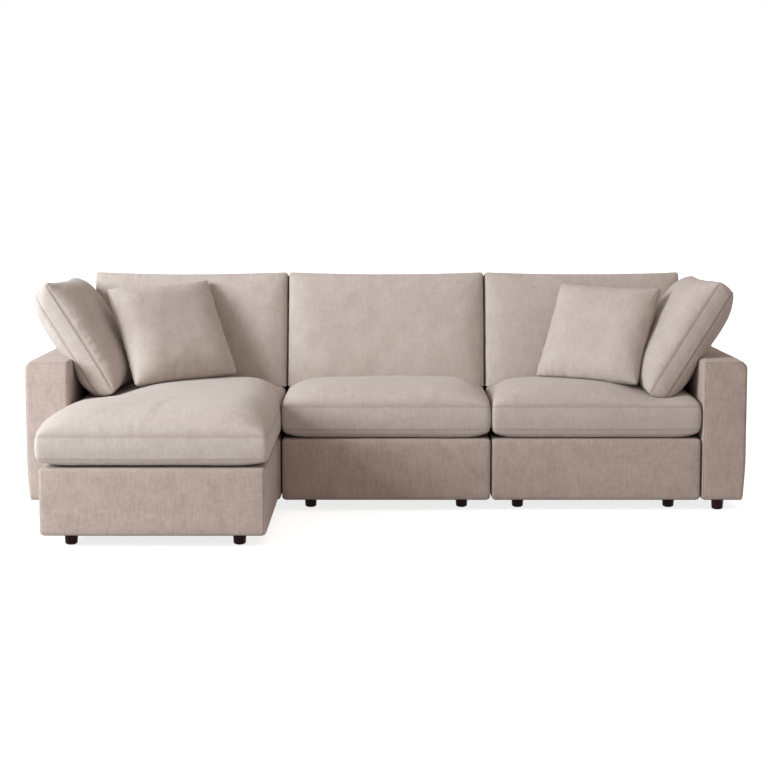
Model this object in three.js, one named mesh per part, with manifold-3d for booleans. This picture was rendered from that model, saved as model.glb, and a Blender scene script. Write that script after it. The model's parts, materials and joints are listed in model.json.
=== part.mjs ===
// A sectional sofa with a chaise. Three armless seat modules stand between two arms, a chaise base stands in
// front of the left seat, and every cushion is loose. Lengths are in millimetres and angles in degrees. +Z is
// up, +X is to the right of someone who looks at the front, and the front faces -Y.
import * as THREE from 'three';
import { mergeVertices } from 'three/addons/utils/BufferGeometryUtils.js';
import Module from 'manifold-3d';

const wasm = await Module();
wasm.setup();

// The modules
const seatCount = 3;
const modulePitch = 864;
const moduleDepth = 914;
const moduleGap = 3;
const baseHeight = 300;
const backHeight = 622;
const backThickness = 174;
const armWidth = 185;
const armHeight = 622;
const chaiseReach = 755;
const chaiseInset = 10;

// What the covers and their seats share
const clearance = 0.3;
const overrun = 20;
const coverWall = 14;
const coverCorner = 20;
const coverEdge = 8;
const deckThickness = 12;
const dustClothThickness = 1.5;

// Timber frames
const boardThickness = 22;
const footBoardWidth = 100;
const topRailDepth = 60;

// Springs under each deck
const springWire = 4;
const springWidth = 50;
const springCount = 4;
const springBends = 12;
const springTieWidth = 4;
const springTieShares = [0.25, 0.5, 0.75];

// Feet
const footHeight = 45;
const footTopRadius = 26;
const footBottomRadius = 23;
const footChamfer = 2;
const footSideInset = 117;
const seatFootFrontInset = 110;
const chaiseFootFrontInset = 85;
const armFootFrontInset = 55;
const armFootInwardShift = 15;
const footSides = 12;

// Brackets that hold neighbouring modules together
const bracketLength = 110;
const bracketWidth = 60;
const bracketThickness = 3;
const bracketSetback = 330;
const bracketScrewRadius = 5;
const bracketScrewHeight = 2.5;
const bracketScrewSpacing = 30;
const bracketScrewSides = 8;

// Seat cushions and the long chaise cushion
const seatRestHeight = 462;
const restBlendDepth = 150;
const seatCushionGap = 12;
const seatCushionOverhang = 4;
const seatLowCrown = 42;
const seatSeamBelowRest = 31;
const seatCrownAboveRest = 60;
const seatDrawIn = 9;
const seatCorner = 55;
const seatBoxingBulge = 6;
const chaiseCushionGap = 3;
const chaiseCushionOverhang = 10;
const chaiseLowCrown = 34;
const chaiseSeamBelowRest = 48;
const chaiseCrownAboveRest = 56;

// Back cushions
const backCushionGap = 8;
const backCushionLean = 14.8;
const backSeamBeforeLowBack = 232;
const backSeamTopHeight = 958;
const backBoxing = 150;
const backCrown = 45;
const backDrawIn = 5;
const backCorner = 40;
const backBoxingBulge = 5;
const backBelowRest = 26;
const bellyRise = 60;
const bellyShares = [0, 0.2, 0.4, 0.6, 0.8, 1];

// Side cushions that lean over the arms
const sideCushionLength = 520;
const sideCushionRise = 522;
const sideBoxing = 64;
const sideInnerCrown = 92;
const sideOuterCrown = 78;
const sideDrawIn = -9;
const sideCorner = 30;
const sideBoxingBulge = 8;
const sideLean = 31.8;
const sideTurn = 3.4;
const sideCentreFromArm = 9;
const sideCentreBeforeBack = 158;
const sideCentreAboveRest = 228;

// Throw pillows
const throwSize = 456;
const throwHalfThickness = 76;
const throwDrawIn = -15;
const throwCorner = 10;
const throwEdgeHalfThickness = 2;
const throwLean = 32.9;
const throwTurn = 28.1;
const leftThrow = { roll: -3.7, fromArm: 381, beforeBack: 154, aboveRest: 252 };
const rightThrow = { roll: 1.4, fromArm: 392, beforeBack: 153, aboveRest: 249 };

// How finely a cushion is faceted
const sidePoints = 5;
const cornerPoints = 3;
const crownShares = [0.3, 0.6, 0.82, 0.94];
const crownPower = 4;
const bowPower = 8;
const pillowShares = [0.3, 0.55, 0.78, 0.93];
const pillowPower = 2.4;

// Sizes that follow from the ones above
const moduleWidth = modulePitch - moduleGap;
const lowBackFront = moduleDepth - backThickness;
const chaiseBaseDepth = chaiseReach - moduleGap;
const seatsHalfWidth = (seatCount * modulePitch) / 2;
const armCoverWidth = armWidth - moduleGap / 2;
const armCoverCentre = seatsHalfWidth + armWidth - armCoverWidth / 2;
const deckUnderside = baseHeight - deckThickness;
const springLow = deckUnderside - clearance - springWire;
const railTop = springLow - clearance;
const frameBottom = footHeight + dustClothThickness + clearance;
const frameHalfWidth = moduleWidth / 2 - coverWall - clearance;
const seatCushionWidth = modulePitch - seatCushionGap;
const seatSeamLow = baseHeight + seatLowCrown;
const seatSeamHigh = seatRestHeight - seatSeamBelowRest;
const seatCrownTop = seatRestHeight + seatCrownAboveRest;
const chaiseCushionWidth = modulePitch - chaiseCushionGap;
const chaiseSeamLow = baseHeight + chaiseLowCrown;
const chaiseSeamHigh = seatRestHeight - chaiseSeamBelowRest;
const chaiseCrownTop = seatRestHeight + chaiseCrownAboveRest;
const backCushionWidth = modulePitch - backCushionGap;
const backSeamBottomDepth = lowBackFront - backSeamBeforeLowBack;
const frontMost = -(chaiseReach + chaiseCushionOverhang);
const middleDepth = (frontMost + moduleDepth) / 2;

const fabric = { color: 0xb9aa9c, roughness: 0.92, metalness: 0 };
const cushionFabric = { color: 0xbcae9f, roughness: 0.92, metalness: 0 };
const stainedWood = { color: 0x2d1a14, roughness: 0.45, metalness: 0 };
const plainTimber = { color: 0xc9a878, roughness: 0.75, metalness: 0 };
const springSteel = { color: 0x8d9094, roughness: 0.35, metalness: 1 };
const dustCloth = { color: 0x1d1c1c, roughness: 0.95, metalness: 0 };

const radians = THREE.MathUtils.degToRad;

// Solids and their joins and cuts

function solidOf(geometry) {
  const bare = geometry.clone();
  bare.deleteAttribute('normal');
  bare.deleteAttribute('uv');
  const merged = mergeVertices(bare);
  return new wasm.Manifold(new wasm.Mesh({
    numProp: 3,
    vertProperties: new Float32Array(merged.attributes.position.array),
    triVerts: new Uint32Array(merged.index.array),
  }));
}

function geometryOf(solid) {
  const mesh = solid.getMesh();
  const geometry = new THREE.BufferGeometry();
  const places = new Float32Array(mesh.numVert * 3);
  for (let i = 0; i < mesh.numVert; i += 1) {
    places.set(mesh.vertProperties.subarray(i * mesh.numProp, i * mesh.numProp + 3), 3 * i);
  }
  geometry.setAttribute('position', new THREE.BufferAttribute(places, 3));
  geometry.setIndex([...mesh.triVerts]);
  return geometry;
}

function joined(geometries) {
  return geometryOf(geometries.map(solidOf).reduce((whole, next) => whole.add(next)));
}

function cut(geometry, cutters) {
  return geometryOf(cutters.map(solidOf).reduce((rest, cutter) => rest.subtract(cutter), solidOf(geometry)));
}

// A box between two corners.
function block(xLow, xHigh, yLow, yHigh, zLow, zHigh) {
  const box = new THREE.BoxGeometry(xHigh - xLow, yHigh - yLow, zHigh - zLow);
  return box.translate((xLow + xHigh) / 2, (yLow + yHigh) / 2, (zLow + zHigh) / 2);
}

// A box between two corners, with rounded upright corners and eased edges.
function paddedBlock(xLow, xHigh, yLow, yHigh, zLow, zHigh) {
  const [x0, x1, y0, y1] = [xLow + coverEdge, xHigh - coverEdge, yLow + coverEdge, yHigh - coverEdge];
  const radius = coverCorner - coverEdge;
  const outline = new THREE.Shape();
  outline.absarc(x1 - radius, y0 + radius, radius, -Math.PI / 2, 0);
  outline.absarc(x1 - radius, y1 - radius, radius, 0, Math.PI / 2);
  outline.absarc(x0 + radius, y1 - radius, radius, Math.PI / 2, Math.PI);
  outline.absarc(x0 + radius, y0 + radius, radius, Math.PI, 1.5 * Math.PI);
  const body = new THREE.ExtrudeGeometry(outline, {
    depth: zHigh - zLow - 2 * coverEdge,
    curveSegments: 3,
    bevelThickness: coverEdge,
    bevelSize: coverEdge,
    bevelSegments: 2,
  });
  return body.translate(0, 0, zLow + coverEdge);
}

// Covers, frames and springs of the modules. Each is drawn about its module's middle, with the module's
// front at y = 0.

function baseCover(halfWidth, depth, deckDepth) {
  const rear = depth - coverWall;
  const inner = halfWidth - coverWall;
  const cutters = [block(-inner, inner, coverWall, rear, footHeight - overrun, deckUnderside)];
  if (deckDepth < depth) {
    cutters.push(block(
      -inner, inner, deckDepth + coverWall, rear, deckUnderside - overrun, baseHeight + overrun,
    ));
  }
  return cut(paddedBlock(-halfWidth, halfWidth, 0, depth, footHeight, baseHeight), cutters);
}

function backCover() {
  const half = moduleWidth / 2;
  const low = baseHeight + clearance;
  const shell = paddedBlock(-half, half, lowBackFront, moduleDepth, low, backHeight);
  const inner = half - coverWall;
  return cut(shell, [block(
    -inner, inner, lowBackFront + coverWall, moduleDepth - coverWall, low - overrun, backHeight - coverWall,
  )]);
}

function armCover() {
  const half = armCoverWidth / 2;
  const shell = paddedBlock(-half, half, 0, moduleDepth, footHeight, armHeight);
  const inner = half - coverWall;
  return cut(shell, [block(
    -inner, inner, coverWall, moduleDepth - coverWall, footHeight - overrun, armHeight - coverWall,
  )]);
}

// The boards of a base: four rails on edge, a rail under the springs' rear ends, and two flat foot boards.
function baseBoards(halfWidth, depth, springRailDepth, frontFeet, rearFeet) {
  const front = coverWall + clearance;
  const rear = depth - coverWall - clearance;
  const inner = halfWidth - boardThickness;
  const boards = [
    block(-halfWidth, halfWidth, front, front + boardThickness, frameBottom, railTop),
    block(-halfWidth, halfWidth, rear - boardThickness, rear, frameBottom, railTop),
    block(-halfWidth, -inner, front, rear, frameBottom, railTop),
    block(inner, halfWidth, front, rear, frameBottom, railTop),
  ];
  if (springRailDepth < rear - boardThickness) {
    boards.push(block(
      -halfWidth, halfWidth, springRailDepth - boardThickness, springRailDepth,
      railTop - footBoardWidth, railTop,
    ));
  }
  for (const middle of [frontFeet, depth - rearFeet]) {
    boards.push(block(
      -halfWidth, halfWidth, middle - footBoardWidth / 2, middle + footBoardWidth / 2,
      frameBottom, frameBottom + boardThickness,
    ));
  }
  return boards;
}

function seatFrame() {
  const half = frameHalfWidth;
  const front = lowBackFront + coverWall + clearance;
  const rear = moduleDepth - coverWall - clearance;
  const top = backHeight - coverWall - clearance;
  const boards = baseBoards(half, moduleDepth, lowBackFront, seatFootFrontInset, seatFootFrontInset);
  for (const side of [-1, 1]) {
    const [outer, inner] = [side * half, side * (half - boardThickness)];
    boards.push(block(Math.min(outer, inner), Math.max(outer, inner), front, rear, frameBottom, top));
  }
  boards.push(block(-half, half, front, rear, top - boardThickness, top));
  boards.push(block(-half, half, front, front + boardThickness, top - topRailDepth, top));
  return joined(boards);
}

function chaiseFrame() {
  return joined(baseBoards(
    frameHalfWidth - chaiseInset, chaiseBaseDepth, chaiseBaseDepth,
    chaiseFootFrontInset, chaiseFootFrontInset,
  ));
}

function armFrame() {
  const half = armCoverWidth / 2 - coverWall - clearance;
  const front = coverWall + clearance;
  const rear = moduleDepth - coverWall - clearance;
  const top = armHeight - coverWall - clearance;
  const middle = (frameBottom + top) / 2;
  return joined([
    block(-half, half, front, front + boardThickness, frameBottom, top),
    block(-half, half, rear - boardThickness, rear, frameBottom, top),
    block(-half, half, front, rear, frameBottom, frameBottom + boardThickness),
    block(-half, half, front, rear, top - boardThickness, top),
    block(-half, half, front, rear, middle - boardThickness / 2, middle + boardThickness / 2),
  ]);
}

// Zigzag springs from the front rail to the rear rail, tied to each other across the seat.
function springUnit(halfWidth, yLow, yHigh) {
  const pitch = (2 * halfWidth) / springCount;
  const step = (yHigh - yLow) / springBends;
  const strips = [];
  for (let i = 0; i < springCount; i += 1) {
    const middle = -halfWidth + (i + 0.5) * pitch;
    const near = [];
    const far = [];
    for (let bend = 0; bend <= springBends; bend += 1) {
      const x = middle + (bend % 2 ? 0.5 : -0.5) * (springWidth - springWire);
      near.push(new THREE.Vector2(x - springWire / 2, yLow + bend * step));
      far.unshift(new THREE.Vector2(x + springWire / 2, yLow + bend * step));
    }
    const strip = new THREE.ExtrudeGeometry(new THREE.Shape([...near, ...far]), {
      depth: springWire, bevelEnabled: false,
    });
    strips.push(strip.translate(0, 0, springLow));
  }
  for (const share of springTieShares) {
    const y = yLow + share * (yHigh - yLow);
    const reach = halfWidth - pitch / 2;
    strips.push(block(
      -reach, reach, y - springTieWidth / 2, y + springTieWidth / 2, springLow, springLow + springWire,
    ));
  }
  return joined(strips);
}

function dustCover(halfWidth, depth) {
  const half = halfWidth - coverWall - clearance;
  const front = coverWall + clearance;
  return block(-half, half, front, depth - front, footHeight, footHeight + dustClothThickness);
}

function foot() {
  const top = footHeight - clearance;
  const profile = [
    [0, 0],
    [footBottomRadius - footChamfer, 0],
    [footBottomRadius, footChamfer],
    [footTopRadius, top],
    [0, top],
  ];
  const turned = new THREE.LatheGeometry(profile.map(([r, z]) => new THREE.Vector2(r, z)), footSides);
  return turned.rotateX(Math.PI / 2);
}

// A flat plate across the joint between two modules, with the heads of its screws below.
function bracket() {
  const top = footHeight - clearance;
  const parts = [block(
    -bracketLength / 2, bracketLength / 2, -bracketWidth / 2, bracketWidth / 2, top - bracketThickness, top,
  )];
  for (const x of [-bracketScrewSpacing, bracketScrewSpacing]) {
    const head = new THREE.CylinderGeometry(
      bracketScrewRadius, bracketScrewRadius, bracketScrewHeight + bracketThickness, bracketScrewSides,
    );
    const middle = top - (bracketScrewHeight + bracketThickness) / 2 - bracketThickness / 2;
    parts.push(head.rotateX(Math.PI / 2).translate(x, 0, middle));
  }
  return joined(parts);
}

// Cushions. Each is a closed skin of rings round the z axis, from its underside to its top.

// A rounded rectangle whose corners lie drawIn inside the middles of its sides.
function cushionOutline(halfWidth, halfDepth, corner, drawIn) {
  const [w, d] = [halfWidth - drawIn, halfDepth - drawIn];
  const points = [];
  const corners = [[1, -1, -90], [1, 1, 0], [-1, 1, 90], [-1, -1, 180]];
  corners.forEach(([sx, sy, start], index) => {
    for (let i = 0; i <= cornerPoints; i += 1) {
      const angle = radians(start + (90 * i) / cornerPoints);
      points.push([
        sx * (w - corner) + corner * Math.cos(angle),
        sy * (d - corner) + corner * Math.sin(angle),
      ]);
    }
    const [nx, ny] = corners[(index + 1) % corners.length];
    const from = points[points.length - 1];
    const next = radians(corners[(index + 1) % corners.length][2]);
    const to = [nx * (w - corner) + corner * Math.cos(next), ny * (d - corner) + corner * Math.sin(next)];
    for (let i = 1; i < sidePoints; i += 1) {
      const share = i / sidePoints;
      points.push([from[0] + share * (to[0] - from[0]), from[1] + share * (to[1] - from[1])]);
    }
  });
  return points.map(([x, y]) => {
    const bowX = drawIn * (1 - (y / d) ** 2) * (Math.abs(x) / w) ** bowPower;
    const bowY = drawIn * (1 - (x / w) ** 2) * (Math.abs(y) / d) ** bowPower;
    return [x + Math.sign(x) * bowX, y + Math.sign(y) * bowY];
  });
}

// The outline drawn in to a share of its size. Towards the middle it turns from a rectangle into an ellipse.
function ringOf(outline, share, halfWidth, halfDepth) {
  const square = share ** 2;
  return outline.map(([x, y]) => {
    const angle = Math.atan2(y / halfDepth, x / halfWidth);
    const [roundX, roundY] = [halfWidth * Math.cos(angle), halfDepth * Math.sin(angle)];
    return [share * (square * x + (1 - square) * roundX), share * (square * y + (1 - square) * roundY)];
  });
}

function skinOf(rings, lowPole, highPole) {
  const count = rings[0].length;
  const places = [lowPole, ...rings.flat(), highPole].flat();
  const last = places.length / 3 - 1;
  const faces = [];
  for (let i = 0; i < count; i += 1) {
    const j = (i + 1) % count;
    faces.push(0, 1 + j, 1 + i);
    for (let ring = 0; ring < rings.length - 1; ring += 1) {
      const [a, b] = [1 + ring * count, 1 + (ring + 1) * count];
      faces.push(a + i, a + j, b + j, a + i, b + j, b + i);
    }
    const top = 1 + (rings.length - 1) * count;
    faces.push(top + i, top + j, last);
  }
  const geometry = new THREE.BufferGeometry();
  geometry.setAttribute('position', new THREE.Float32BufferAttribute(places, 3));
  geometry.setIndex(faces);
  return geometry;
}

// A boxed cushion: a band of boxing between two seams, with a crowned panel below and above it.
// lowCrown and highCrown are heights, and shapeTop may press the top panel down.
function boxedCushion({
  width, depth, corner, drawIn, bulge, seamLow, seamHigh, lowCrown, highCrown, shapeTop,
}) {
  const outline = cushionOutline(width / 2 - bulge, depth / 2 - bulge, corner, drawIn);
  const wide = cushionOutline(width / 2, depth / 2, corner, drawIn);
  const crowned = (share) => 1 - share ** crownPower;
  const raise = shapeTop ?? ((x, y, z) => z);
  const lower = crownShares.map((share) => ringOf(outline, share, width / 2, depth / 2).map(
    ([x, y]) => [x, y, seamLow - lowCrown * crowned(share)],
  ));
  const upper = [...crownShares].reverse().map((share) => ringOf(outline, share, width / 2, depth / 2).map(
    ([x, y]) => [x, y, raise(x, y, seamHigh + highCrown * crowned(share))],
  ));
  const boxing = [
    outline.map(([x, y]) => [x, y, seamLow]),
    wide.map(([x, y]) => [x, y, (seamLow + seamHigh) / 2]),
    outline.map(([x, y]) => [x, y, seamHigh]),
  ];
  const top = raise(0, 0, seamHigh + highCrown);
  return skinOf([...lower, ...boxing, ...upper], [0, 0, seamLow - lowCrown], [0, 0, top]);
}

// A pillow with no boxing, whose two panels meet at a thin edge.
function knifeEdgePillow() {
  const outline = cushionOutline(throwSize / 2, throwSize / 2, throwCorner, throwDrawIn);
  const panel = (share, side) => ringOf(outline, share, throwSize / 2, throwSize / 2).map(([x, y]) => {
    const rise = (1 - share ** pillowPower) * (throwHalfThickness - throwEdgeHalfThickness);
    return [x, y, side * (throwEdgeHalfThickness + rise)];
  });
  const lower = [...pillowShares, 1].map((share) => panel(share, -1));
  const upper = [1, ...[...pillowShares].reverse()].map((share) => panel(share, 1));
  return skinOf([...lower, ...upper], [0, 0, -throwHalfThickness], [0, 0, throwHalfThickness]);
}

// A seat cushion lies on its deck from the given front to the low back. Under the back cushion its crown is
// pressed down to seatRestHeight.
function seatCushion(width, front, seamLow, seamHigh, crownTop) {
  const rear = lowBackFront - clearance;
  const centre = (front + rear) / 2;
  const underside = baseHeight + clearance;
  const shapeTop = (x, y, z) => {
    const pressed = THREE.MathUtils.smoothstep(
      y + centre, backSeamBottomDepth - restBlendDepth, backSeamBottomDepth,
    );
    return z + pressed * (Math.min(z, seatRestHeight) - z);
  };
  const cushion = boxedCushion({
    width,
    depth: rear - front,
    corner: seatCorner,
    drawIn: seatDrawIn,
    bulge: seatBoxingBulge,
    seamLow,
    seamHigh,
    lowCrown: seamLow - underside,
    highCrown: crownTop - seamHigh,
    shapeTop,
  }).translate(0, centre, 0);
  const pressedFlat = block(
    -width, width, backSeamBottomDepth - backCrown, moduleDepth, seatRestHeight, crownTop + overrun,
  );
  return cut(cushion, [pressedFlat]);
}

function backCushion() {
  const lean = radians(backCushionLean);
  const rest = seatRestHeight + clearance;
  const length = (backSeamTopHeight - rest) / Math.cos(lean) + backBelowRest;
  const cushion = boxedCushion({
    width: backCushionWidth,
    depth: length,
    corner: backCorner,
    drawIn: backDrawIn,
    bulge: backBoxingBulge,
    seamLow: -backBoxing,
    seamHigh: 0,
    lowCrown: backCrown,
    highCrown: backCrown,
  });
  cushion.translate(0, length / 2 - backBelowRest, 0).rotateX(Math.PI / 2 - lean);
  cushion.translate(0, backSeamBottomDepth, rest);
  const lowBack = block(
    -modulePitch, modulePitch, lowBackFront - clearance, moduleDepth + overrun, 0, backHeight + clearance,
  );
  const seat = block(-modulePitch, modulePitch, 0, moduleDepth, 0, rest);
  return cut(cushion, [lowBack, seat]);
}

// The arm's outside, grown by the clearance, for what leans on it.
function armSpace(side) {
  const [inner, outer] = [seatsHalfWidth - clearance, seatsHalfWidth + armWidth + overrun];
  return block(
    Math.min(side * inner, side * outer), Math.max(side * inner, side * outer),
    -overrun, moduleDepth + overrun, 0, armHeight + clearance,
  );
}

// The space under a back cushion, at every seat.
function spaceUnderBackCushions() {
  return block(
    -seatsHalfWidth, seatsHalfWidth, backSeamBottomDepth - clearance, moduleDepth,
    0, seatRestHeight + 2 * clearance,
  );
}

// What a back cushion keeps clear of a cushion that is lifted off in front of it. Its front swells up to
// bellyRise above its underside, so the space holds copies of it down to that much lower.
function frontOfBackCushion(backCushionBehind) {
  return bellyShares.map((share) => backCushionBehind.clone().translate(
    0, -clearance, -clearance - share * bellyRise,
  ));
}

// A side cushion stands on the seat and leans outwards over the arm. Side is -1 on the left, 1 on the right.
function sideCushion(side, seatBelow, backBehind) {
  const cushion = boxedCushion({
    width: sideCushionLength,
    depth: sideCushionRise,
    corner: sideCorner,
    drawIn: sideDrawIn,
    bulge: sideBoxingBulge,
    seamLow: -sideBoxing / 2,
    seamHigh: sideBoxing / 2,
    lowCrown: sideOuterCrown,
    highCrown: sideInnerCrown,
  });
  cushion.rotateX(Math.PI / 2).rotateZ(-side * Math.PI / 2).rotateY(side * radians(sideLean));
  cushion.rotateZ(side * radians(sideTurn));
  cushion.translate(
    side * (seatsHalfWidth - sideCentreFromArm), backSeamBottomDepth - sideCentreBeforeBack,
    seatRestHeight + sideCentreAboveRest,
  );
  return cut(cushion, [
    armSpace(side),
    spaceUnderBackCushions(),
    seatBelow.clone().translate(0, 0, clearance),
    ...frontOfBackCushion(backBehind),
  ]);
}

// A throw pillow stands on the seat and leans on the back cushion.
function throwPillow(side, place, seatBelow, backBehind, cushionBeside) {
  const pillow = knifeEdgePillow().rotateX(Math.PI / 2).rotateY(radians(place.roll));
  pillow.rotateX(-radians(throwLean)).rotateZ(-side * radians(throwTurn));
  pillow.translate(
    side * (seatsHalfWidth - place.fromArm), backSeamBottomDepth - place.beforeBack,
    seatRestHeight + place.aboveRest,
  );
  return cut(pillow, [
    seatBelow.clone().translate(0, 0, clearance),
    backBehind.clone().translate(0, -clearance, -clearance),
    cushionBeside.clone().translate(-side * clearance, 0, clearance),
  ]);
}

// The assembly

const sofa = new THREE.Group();
sofa.position.set(0, -middleDepth, 0);

function place(parent, name, geometry, finish, x = 0, y = 0, z = 0) {
  const mesh = new THREE.Mesh(geometry, new THREE.MeshStandardMaterial(finish));
  mesh.name = name;
  mesh.position.set(x, y, z);
  parent.add(mesh);
}

function group(x, y) {
  const part = new THREE.Group();
  part.position.set(x, y, 0);
  sofa.add(part);
  return part;
}

const seats = { left: -modulePitch, middle: 0, right: modulePitch };
const footPlaces = { front_left: [-1, 0], front_right: [1, 0], rear_left: [-1, 1], rear_right: [1, 1] };
const footFromMiddle = modulePitch / 2 - footSideInset;

for (const [name, x] of Object.entries(seats)) {
  const seat = group(x, 0);
  place(seat, `${name}_seat_frame`, seatFrame(), plainTimber);
  place(seat, `${name}_seat_springs`, springUnit(
    frameHalfWidth - boardThickness, coverWall + 2 * clearance, lowBackFront - clearance,
  ), springSteel);
  place(seat, `${name}_seat_base_cover`, baseCover(moduleWidth / 2, moduleDepth, lowBackFront), fabric);
  place(seat, `${name}_seat_back_cover`, backCover(), fabric);
  place(seat, `${name}_seat_dust_cover`, dustCover(moduleWidth / 2, moduleDepth), dustCloth);
  for (const [corner, [side, rear]] of Object.entries(footPlaces)) {
    const y = rear ? moduleDepth - seatFootFrontInset : seatFootFrontInset;
    place(seat, `${name}_seat_foot_${corner}`, foot(), stainedWood, side * footFromMiddle, y);
  }
}

const chaise = group(seats.left, -chaiseReach);
const chaiseHalfWidth = moduleWidth / 2 - chaiseInset;
place(chaise, 'chaise_frame', chaiseFrame(), plainTimber);
place(chaise, 'chaise_springs', springUnit(
  frameHalfWidth - chaiseInset - boardThickness, coverWall + 2 * clearance,
  chaiseBaseDepth - coverWall - clearance,
), springSteel);
place(chaise, 'chaise_base_cover', baseCover(chaiseHalfWidth, chaiseBaseDepth, chaiseBaseDepth), fabric);
place(chaise, 'chaise_dust_cover', dustCover(chaiseHalfWidth, chaiseBaseDepth), dustCloth);
for (const [corner, [side, rear]] of Object.entries(footPlaces)) {
  const y = rear ? chaiseBaseDepth - chaiseFootFrontInset : chaiseFootFrontInset;
  place(chaise, `chaise_foot_${corner}`, foot(), stainedWood, side * footFromMiddle, y);
}

for (const [name, side] of [['left', -1], ['right', 1]]) {
  const arm = group(side * armCoverCentre, 0);
  place(arm, `${name}_arm_frame`, armFrame(), plainTimber);
  place(arm, `${name}_arm_cover`, armCover(), fabric);
  place(arm, `${name}_arm_dust_cover`, dustCover(armCoverWidth / 2, moduleDepth), dustCloth);
  const x = -side * armFootInwardShift;
  place(arm, `${name}_arm_foot_front`, foot(), stainedWood, x, armFootFrontInset);
  place(arm, `${name}_arm_foot_rear`, foot(), stainedWood, x, moduleDepth - armFootFrontInset);
}

const jointNames = ['left_arm', 'left_middle', 'middle_right', 'right_arm'];
jointNames.forEach((name, index) => {
  const x = index * modulePitch - seatsHalfWidth;
  place(sofa, `bracket_${name}`, bracket(), springSteel, x, bracketSetback);
});

const seatCushionShape = seatCushion(
  seatCushionWidth, -seatCushionOverhang, seatSeamLow, seatSeamHigh, seatCrownTop,
);
const chaiseCushionShape = seatCushion(
  chaiseCushionWidth, frontMost, chaiseSeamLow, chaiseSeamHigh, chaiseCrownTop,
);
const seatCushions = {
  left: chaiseCushionShape.clone().translate(seats.left, 0, 0),
  middle: seatCushionShape,
  right: seatCushionShape.clone().translate(seats.right, 0, 0),
};
const backCushions = {};
for (const [name, x] of Object.entries(seats)) {
  backCushions[name] = backCushion().translate(x, 0, 0);
  place(sofa, name === 'left' ? 'chaise_cushion' : `${name}_seat_cushion`, seatCushions[name], cushionFabric);
  place(sofa, `${name}_back_cushion`, backCushions[name], cushionFabric);
}
for (const [name, side, throwPlace] of [['left', -1, leftThrow], ['right', 1, rightThrow]]) {
  const beside = sideCushion(side, seatCushions[name], backCushions[name]);
  place(sofa, `${name}_side_cushion`, beside, cushionFabric);
  place(sofa, `${name}_throw_pillow`, throwPillow(
    side, throwPlace, seatCushions[name], backCushions[name], beside,
  ), cushionFabric);
}

export default sofa;
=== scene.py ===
"""A linen sectional sofa with a chaise, dressed around its fixed frame.

The covers, cushions, feet, stitches and staples are modelled here. The frames, springs, brackets and dust
covers are the frame's own nodes with a finish of their own. Everything is in metres.
"""

import json
import math

import bpy
import numpy as np
from mathutils import Matrix, Vector, noise
from mathutils.bvhtree import BVHTree

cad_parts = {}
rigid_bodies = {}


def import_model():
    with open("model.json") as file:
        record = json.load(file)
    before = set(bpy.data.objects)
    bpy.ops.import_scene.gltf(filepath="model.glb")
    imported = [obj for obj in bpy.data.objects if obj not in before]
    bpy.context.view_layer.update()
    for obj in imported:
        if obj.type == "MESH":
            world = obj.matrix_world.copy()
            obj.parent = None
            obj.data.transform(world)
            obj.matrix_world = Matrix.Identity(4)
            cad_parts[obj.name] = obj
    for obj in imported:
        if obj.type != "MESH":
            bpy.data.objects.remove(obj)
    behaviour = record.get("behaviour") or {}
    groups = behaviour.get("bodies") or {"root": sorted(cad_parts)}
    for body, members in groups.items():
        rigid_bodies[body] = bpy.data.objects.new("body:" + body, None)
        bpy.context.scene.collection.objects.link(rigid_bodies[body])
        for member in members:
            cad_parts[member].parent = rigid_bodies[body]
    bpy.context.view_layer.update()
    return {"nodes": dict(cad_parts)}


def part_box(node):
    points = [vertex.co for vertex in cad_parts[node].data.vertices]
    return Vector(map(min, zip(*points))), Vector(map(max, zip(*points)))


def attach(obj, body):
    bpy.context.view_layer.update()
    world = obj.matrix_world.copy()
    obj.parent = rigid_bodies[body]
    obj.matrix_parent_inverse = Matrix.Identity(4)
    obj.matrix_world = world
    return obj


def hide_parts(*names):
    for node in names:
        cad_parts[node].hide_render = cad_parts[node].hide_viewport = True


bl_info = {
    "name": "Sectional sofa with chaise",
    "version": (1, 0, 0),
    "blender": (4, 5, 0),
    "location": "3D View > Sidebar > Sofa",
    "description": "Dresses a modular linen sofa: covers, cushions, pillows, feet, seams and stitches",
    "category": "Add Mesh",
}

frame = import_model()

SEATS = ("left", "middle", "right")
SIDES = {"left": -1, "right": 1}
SEAT_CUSHIONS = {"left": "chaise_cushion", "right": "right_seat_cushion"}
WEAVE = "weave"
SEAM = "seam"
FLAT = "flat"
SEAM_SHADE = "seam_shade"
SEED_STEPS = (7.31, 3.17, 1.73)


def corners(node):
    """The lowest and highest corner of a node, as arrays."""
    low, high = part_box(node)
    return np.array(low), np.array(high)


def middle_of(node):
    low, high = corners(node)
    return (low + high) / 2


SEAT_FRONT = corners("middle_seat_base_cover")[0][1]
DECK = corners("middle_seat_base_cover")[1][2]
LOW_BACK_FRONT = corners("middle_seat_back_cover")[0][1]
LOW_BACK_TOP = corners("middle_seat_back_cover")[1][2]
PITCH = middle_of("right_seat_cushion")[0] - middle_of("middle_seat_cushion")[0]


# Sizes and colours that a user would change


def length_setting(name, description, default):
    return bpy.props.FloatProperty(
        name=name, description=description, default=default, precision=4, unit="LENGTH",
    )


def angle_setting(name, description, degrees):
    return bpy.props.FloatProperty(
        name=name, description=description, default=math.radians(degrees), subtype="ANGLE",
    )


def colour_setting(name, description, default):
    return bpy.props.FloatVectorProperty(
        name=name, description=description, default=default, size=3, subtype="COLOR",
    )


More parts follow.
